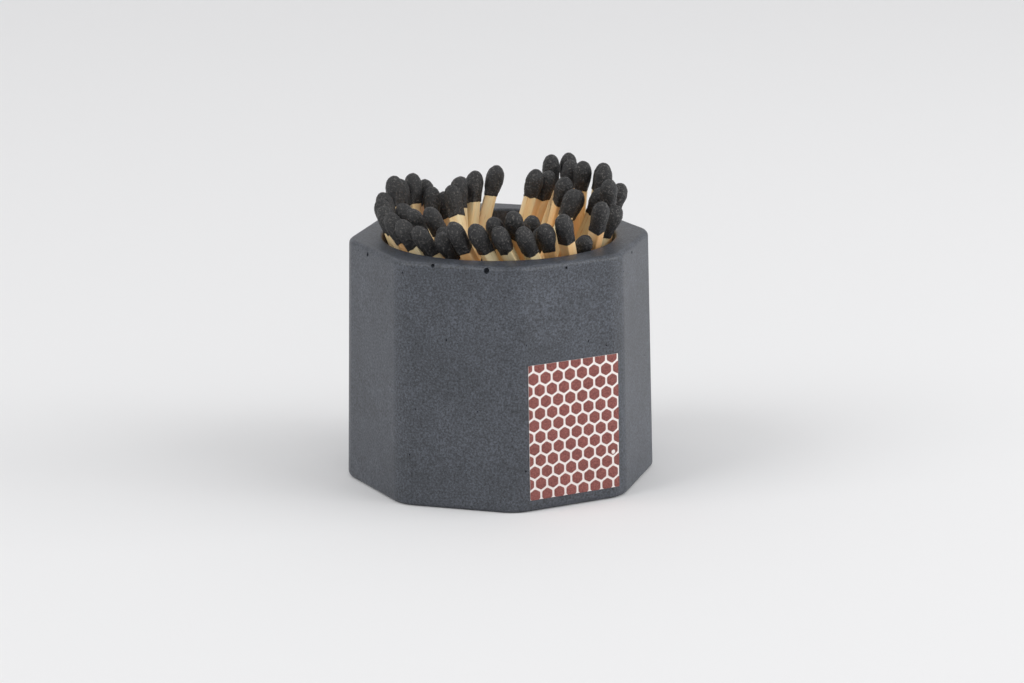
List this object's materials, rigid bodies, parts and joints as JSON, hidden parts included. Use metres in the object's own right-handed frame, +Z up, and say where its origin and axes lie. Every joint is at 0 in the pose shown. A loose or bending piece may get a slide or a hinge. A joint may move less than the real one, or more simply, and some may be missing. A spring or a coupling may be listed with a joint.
{
  "type": "match pot with striker",
  "caption": "Small octagonal cast concrete pot with a round bore holding loose black-headed wooden matches, and a striking label with hexagonal dots on one face.",
  "frame": {"origin": "on the pot's axis, at its underside", "axes": "+Z up, -Y out of the face with the striking label"},
  "size_m": [0.0514, 0.0516, 0.0545],
  "materials": {
    "concrete": "matte, fine pores",
    "label_paper": "matte",
    "striking_compound": "gritty",
    "match_wood": "raw split wood, black dipped head"
  },
  "bodies": {
    "pot": {"pot_body": "concrete", "striker_paper": "label_paper", "striker_dots": "striking_compound"},
    "left_back_match_1": {"left_back_match_1": "match_wood"},
    "left_back_match_2": {"left_back_match_2": "match_wood"},
    "left_back_match_3": {"left_back_match_3": "match_wood"},
    "left_high_match_1": {"left_high_match_1": "match_wood"},
    "left_high_match_2": {"left_high_match_2": "match_wood"},
    "left_high_match_3": {"left_high_match_3": "match_wood"},
    "left_high_match_4": {"left_high_match_4": "match_wood"},
    "left_rim_match_1": {"left_rim_match_1": "match_wood"},
    "left_rim_match_2": {"left_rim_match_2": "match_wood"},
    "left_rim_match_3": {"left_rim_match_3": "match_wood"},
    "left_inner_match_1": {"left_inner_match_1": "match_wood"},
    "left_inner_match_2": {"left_inner_match_2": "match_wood"},
    "left_inner_match_3": {"left_inner_match_3": "match_wood"},
    "left_low_match_1": {"left_low_match_1": "match_wood"},
    "left_low_match_2": {"left_low_match_2": "match_wood"},
    "left_low_match_3": {"left_low_match_3": "match_wood"},
    "front_left_match_1": {"front_left_match_1": "match_wood"},
    "front_left_match_2": {"front_left_match_2": "match_wood"},
    "front_left_match_3": {"front_left_match_3": "match_wood"},
    "front_rim_match_1": {"front_rim_match_1": "match_wood"},
    "front_rim_match_2": {"front_rim_match_2": "match_wood"},
    "front_rim_match_3": {"front_rim_match_3": "match_wood"},
    "front_inner_match_1": {"front_inner_match_1": "match_wood"},
    "front_inner_match_2": {"front_inner_match_2": "match_wood"},
    "front_inner_match_3": {"front_inner_match_3": "match_wood"},
    "front_inner_match_4": {"front_inner_match_4": "match_wood"},
    "front_right_match_1": {"front_right_match_1": "match_wood"},
    "front_right_match_2": {"front_right_match_2": "match_wood"},
    "front_right_match_3": {"front_right_match_3": "match_wood"},
    "right_low_match_1": {"right_low_match_1": "match_wood"},
    "right_low_match_2": {"right_low_match_2": "match_wood"},
    "right_low_match_3": {"right_low_match_3": "match_wood"},
    "right_inner_match_1": {"right_inner_match_1": "match_wood"},
    "right_inner_match_2": {"right_inner_match_2": "match_wood"},
    "right_inner_match_3": {"right_inner_match_3": "match_wood"},
    "right_rim_match_1": {"right_rim_match_1": "match_wood"},
    "right_rim_match_2": {"right_rim_match_2": "match_wood"},
    "right_rim_match_3": {"right_rim_match_3": "match_wood"},
    "right_rim_match_4": {"right_rim_match_4": "match_wood"},
    "right_back_match_1": {"right_back_match_1": "match_wood"},
    "right_back_match_2": {"right_back_match_2": "match_wood"},
    "right_back_match_3": {"right_back_match_3": "match_wood"},
    "right_back_match_4": {"right_back_match_4": "match_wood"},
    "back_right_match_1": {"back_right_match_1": "match_wood"},
    "back_right_match_2": {"back_right_match_2": "match_wood"},
    "back_left_match_1": {"back_left_match_1": "match_wood"},
    "back_left_match_2": {"back_left_match_2": "match_wood"},
    "back_left_match_3": {"back_left_match_3": "match_wood"},
    "back_left_match_4": {"back_left_match_4": "match_wood"}
  },
  "joints": [
    {"name": "left_back_match_1_draw", "type": "slide", "parent": "pot", "child": "left_back_match_1", "axis": [0.3101, 0.3701, 0.8757], "range_m": [0, 0.046]},
    {"name": "left_back_match_2_draw", "type": "slide", "parent": "pot", "child": "left_back_match_2", "axis": [0.2313, 0.5051, 0.8315], "range_m": [0, 0.046]},
    {"name": "left_back_match_3_draw", "type": "slide", "parent": "pot", "child": "left_back_match_3", "axis": [0.1622, 0.4432, 0.8816], "range_m": [0, 0.046]},
    {"name": "left_high_match_1_draw", "type": "slide", "parent": "pot", "child": "left_high_match_1", "axis": [0.2106, 0.4434, 0.8712], "range_m": [0, 0.046]},
    {"name": "left_high_match_2_draw", "type": "slide", "parent": "pot", "child": "left_high_match_2", "axis": [0.1536, 0.3653, 0.9181], "range_m": [0, 0.046]},
    {"name": "left_high_match_3_draw", "type": "slide", "parent": "pot", "child": "left_high_match_3", "axis": [0.0867, 0.4058, 0.9099], "range_m": [0, 0.046]},
    {"name": "left_high_match_4_draw", "type": "slide", "parent": "pot", "child": "left_high_match_4", "axis": [0.1034, 0.3311, 0.9379], "range_m": [0, 0.046]},
    {"name": "left_rim_match_1_draw", "type": "slide", "parent": "pot", "child": "left_rim_match_1", "axis": [-0.1442, 0.4353, 0.8887], "range_m": [0, 0.046]},
    {"name": "left_rim_match_2_draw", "type": "slide", "parent": "pot", "child": "left_rim_match_2", "axis": [-0.1884, 0.4346, 0.8807], "range_m": [0, 0.046]},
    {"name": "left_rim_match_3_draw", "type": "slide", "parent": "pot", "child": "left_rim_match_3", "axis": [-0.2535, 0.4207, 0.8711], "range_m": [0, 0.046]},
    {"name": "left_inner_match_1_draw", "type": "slide", "parent": "pot", "child": "left_inner_match_1", "axis": [-0.2569, 0.4148, 0.8729], "range_m": [0, 0.046]},
    {"name": "left_inner_match_2_draw", "type": "slide", "parent": "pot", "child": "left_inner_match_2", "axis": [-0.342, 0.3558, 0.8697], "range_m": [0, 0.046]},
    {"name": "left_inner_match_3_draw", "type": "slide", "parent": "pot", "child": "left_inner_match_3", "axis": [-0.43, 0.1505, 0.8902], "range_m": [0, 0.046]},
    {"name": "left_low_match_1_draw", "type": "slide", "parent": "pot", "child": "left_low_match_1", "axis": [-0.3177, 0.3938, 0.8626], "range_m": [0, 0.046]},
    {"name": "left_low_match_2_draw", "type": "slide", "parent": "pot", "child": "left_low_match_2", "axis": [-0.4005, 0.336, 0.8525], "range_m": [0, 0.046]},
    {"name": "left_low_match_3_draw", "type": "slide", "parent": "pot", "child": "left_low_match_3", "axis": [-0.4815, 0.2384, 0.8434], "range_m": [0, 0.046]},
    {"name": "front_left_match_1_draw", "type": "slide", "parent": "pot", "child": "front_left_match_1", "axis": [-0.5517, 0.041, 0.833], "range_m": [0, 0.046]},
    {"name": "front_left_match_2_draw", "type": "slide", "parent": "pot", "child": "front_left_match_2", "axis": [-0.5585, 0.0305, 0.8289], "range_m": [0, 0.046]},
    {"name": "front_left_match_3_draw", "type": "slide", "parent": "pot", "child": "front_left_match_3", "axis": [-0.4727, 0.0236, 0.8809], "range_m": [0, 0.046]},
    {"name": "front_rim_match_1_draw", "type": "slide", "parent": "pot", "child": "front_rim_match_1", "axis": [-0.4806, -0.0232, 0.8767], "range_m": [0, 0.046]},
    {"name": "front_rim_match_2_draw", "type": "slide", "parent": "pot", "child": "front_rim_match_2", "axis": [-0.4797, -0.1221, 0.8689], "range_m": [0, 0.046]},
    {"name": "front_rim_match_3_draw", "type": "slide", "parent": "pot", "child": "front_rim_match_3", "axis": [-0.4494, -0.2283, 0.8637], "range_m": [0, 0.046]},
    {"name": "front_inner_match_1_draw", "type": "slide", "parent": "pot", "child": "front_inner_match_1", "axis": [-0.4133, -0.225, 0.8823], "range_m": [0, 0.046]},
    {"name": "front_inner_match_2_draw", "type": "slide", "parent": "pot", "child": "front_inner_match_2", "axis": [-0.3742, -0.2017, 0.9052], "range_m": [0, 0.046]},
    {"name": "front_inner_match_3_draw", "type": "slide", "parent": "pot", "child": "front_inner_match_3", "axis": [0.1299, -0.5519, 0.8237], "range_m": [0, 0.046]},
    {"name": "front_inner_match_4_draw", "type": "slide", "parent": "pot", "child": "front_inner_match_4", "axis": [-0.105, -0.5186, 0.8486], "range_m": [0, 0.046]},
    {"name": "front_right_match_1_draw", "type": "slide", "parent": "pot", "child": "front_right_match_1", "axis": [-0.3573, -0.3507, 0.8657], "range_m": [0, 0.046]},
    {"name": "front_right_match_2_draw", "type": "slide", "parent": "pot", "child": "front_right_match_2", "axis": [-0.3192, -0.3071, 0.8966], "range_m": [0, 0.046]},
    {"name": "front_right_match_3_draw", "type": "slide", "parent": "pot", "child": "front_right_match_3", "axis": [0.1087, -0.6038, 0.7897], "range_m": [0, 0.046]},
    {"name": "right_low_match_1_draw", "type": "slide", "parent": "pot", "child": "right_low_match_1", "axis": [-0.014, -0.3987, 0.917], "range_m": [0, 0.046]},
    {"name": "right_low_match_2_draw", "type": "slide", "parent": "pot", "child": "right_low_match_2", "axis": [0.2832, -0.3931, 0.8748], "range_m": [0, 0.046]},
    {"name": "right_low_match_3_draw", "type": "slide", "parent": "pot", "child": "right_low_match_3", "axis": [-0.0476, -0.2438, 0.9687], "range_m": [0, 0.046]},
    {"name": "right_inner_match_1_draw", "type": "slide", "parent": "pot", "child": "right_inner_match_1", "axis": [0.3263, -0.1609, 0.9315], "range_m": [0, 0.046]},
    {"name": "right_inner_match_2_draw", "type": "slide", "parent": "pot", "child": "right_inner_match_2", "axis": [0.3781, -0.167, 0.9106], "range_m": [0, 0.046]},
    {"name": "right_inner_match_3_draw", "type": "slide", "parent": "pot", "child": "right_inner_match_3", "axis": [0.1157, -0.2749, 0.9545], "range_m": [0, 0.046]},
    {"name": "right_rim_match_1_draw", "type": "slide", "parent": "pot", "child": "right_rim_match_1", "axis": [0.2562, -0.2995, 0.919], "range_m": [0, 0.046]},
    {"name": "right_rim_match_2_draw", "type": "slide", "parent": "pot", "child": "right_rim_match_2", "axis": [0.3233, -0.1928, 0.9264], "range_m": [0, 0.046]},
    {"name": "right_rim_match_3_draw", "type": "slide", "parent": "pot", "child": "right_rim_match_3", "axis": [0.089, -0.1057, 0.9904], "range_m": [0, 0.046]},
    {"name": "right_rim_match_4_draw", "type": "slide", "parent": "pot", "child": "right_rim_match_4", "axis": [0.1501, -0.0967, 0.9839], "range_m": [0, 0.046]},
    {"name": "right_back_match_1_draw", "type": "slide", "parent": "pot", "child": "right_back_match_1", "axis": [0.0185, -0.135, 0.9907], "range_m": [0, 0.046]},
    {"name": "right_back_match_2_draw", "type": "slide", "parent": "pot", "child": "right_back_match_2", "axis": [0.1924, 0.0463, 0.9802], "range_m": [0, 0.046]},
    {"name": "right_back_match_3_draw", "type": "slide", "parent": "pot", "child": "right_back_match_3", "axis": [0.1247, 0.038, 0.9915], "range_m": [0, 0.046]},
    {"name": "right_back_match_4_draw", "type": "slide", "parent": "pot", "child": "right_back_match_4", "axis": [0.0952, 0.0825, 0.992], "range_m": [0, 0.046]},
    {"name": "back_right_match_1_draw", "type": "slide", "parent": "pot", "child": "back_right_match_1", "axis": [0.2511, -0.0998, 0.9628], "range_m": [0, 0.046]},
    {"name": "back_right_match_2_draw", "type": "slide", "parent": "pot", "child": "back_right_match_2", "axis": [0.2996, -0.1351, 0.9445], "range_m": [0, 0.046]},
    {"name": "back_left_match_1_draw", "type": "slide", "parent": "pot", "child": "back_left_match_1", "axis": [0.3394, 0.103, 0.935], "range_m": [0, 0.046]},
    {"name": "back_left_match_2_draw", "type": "slide", "parent": "pot", "child": "back_left_match_2", "axis": [0.2598, 0.2842, 0.9229], "range_m": [0, 0.046]},
    {"name": "back_left_match_3_draw", "type": "slide", "parent": "pot", "child": "back_left_match_3", "axis": [0.1379, 0.387, 0.9117], "range_m": [0, 0.046]},
    {"name": "back_left_match_4_draw", "type": "slide", "parent": "pot", "child": "back_left_match_4", "axis": [0.0282, 0.4363, 0.8993], "range_m": [0, 0.046]}
  ]
}
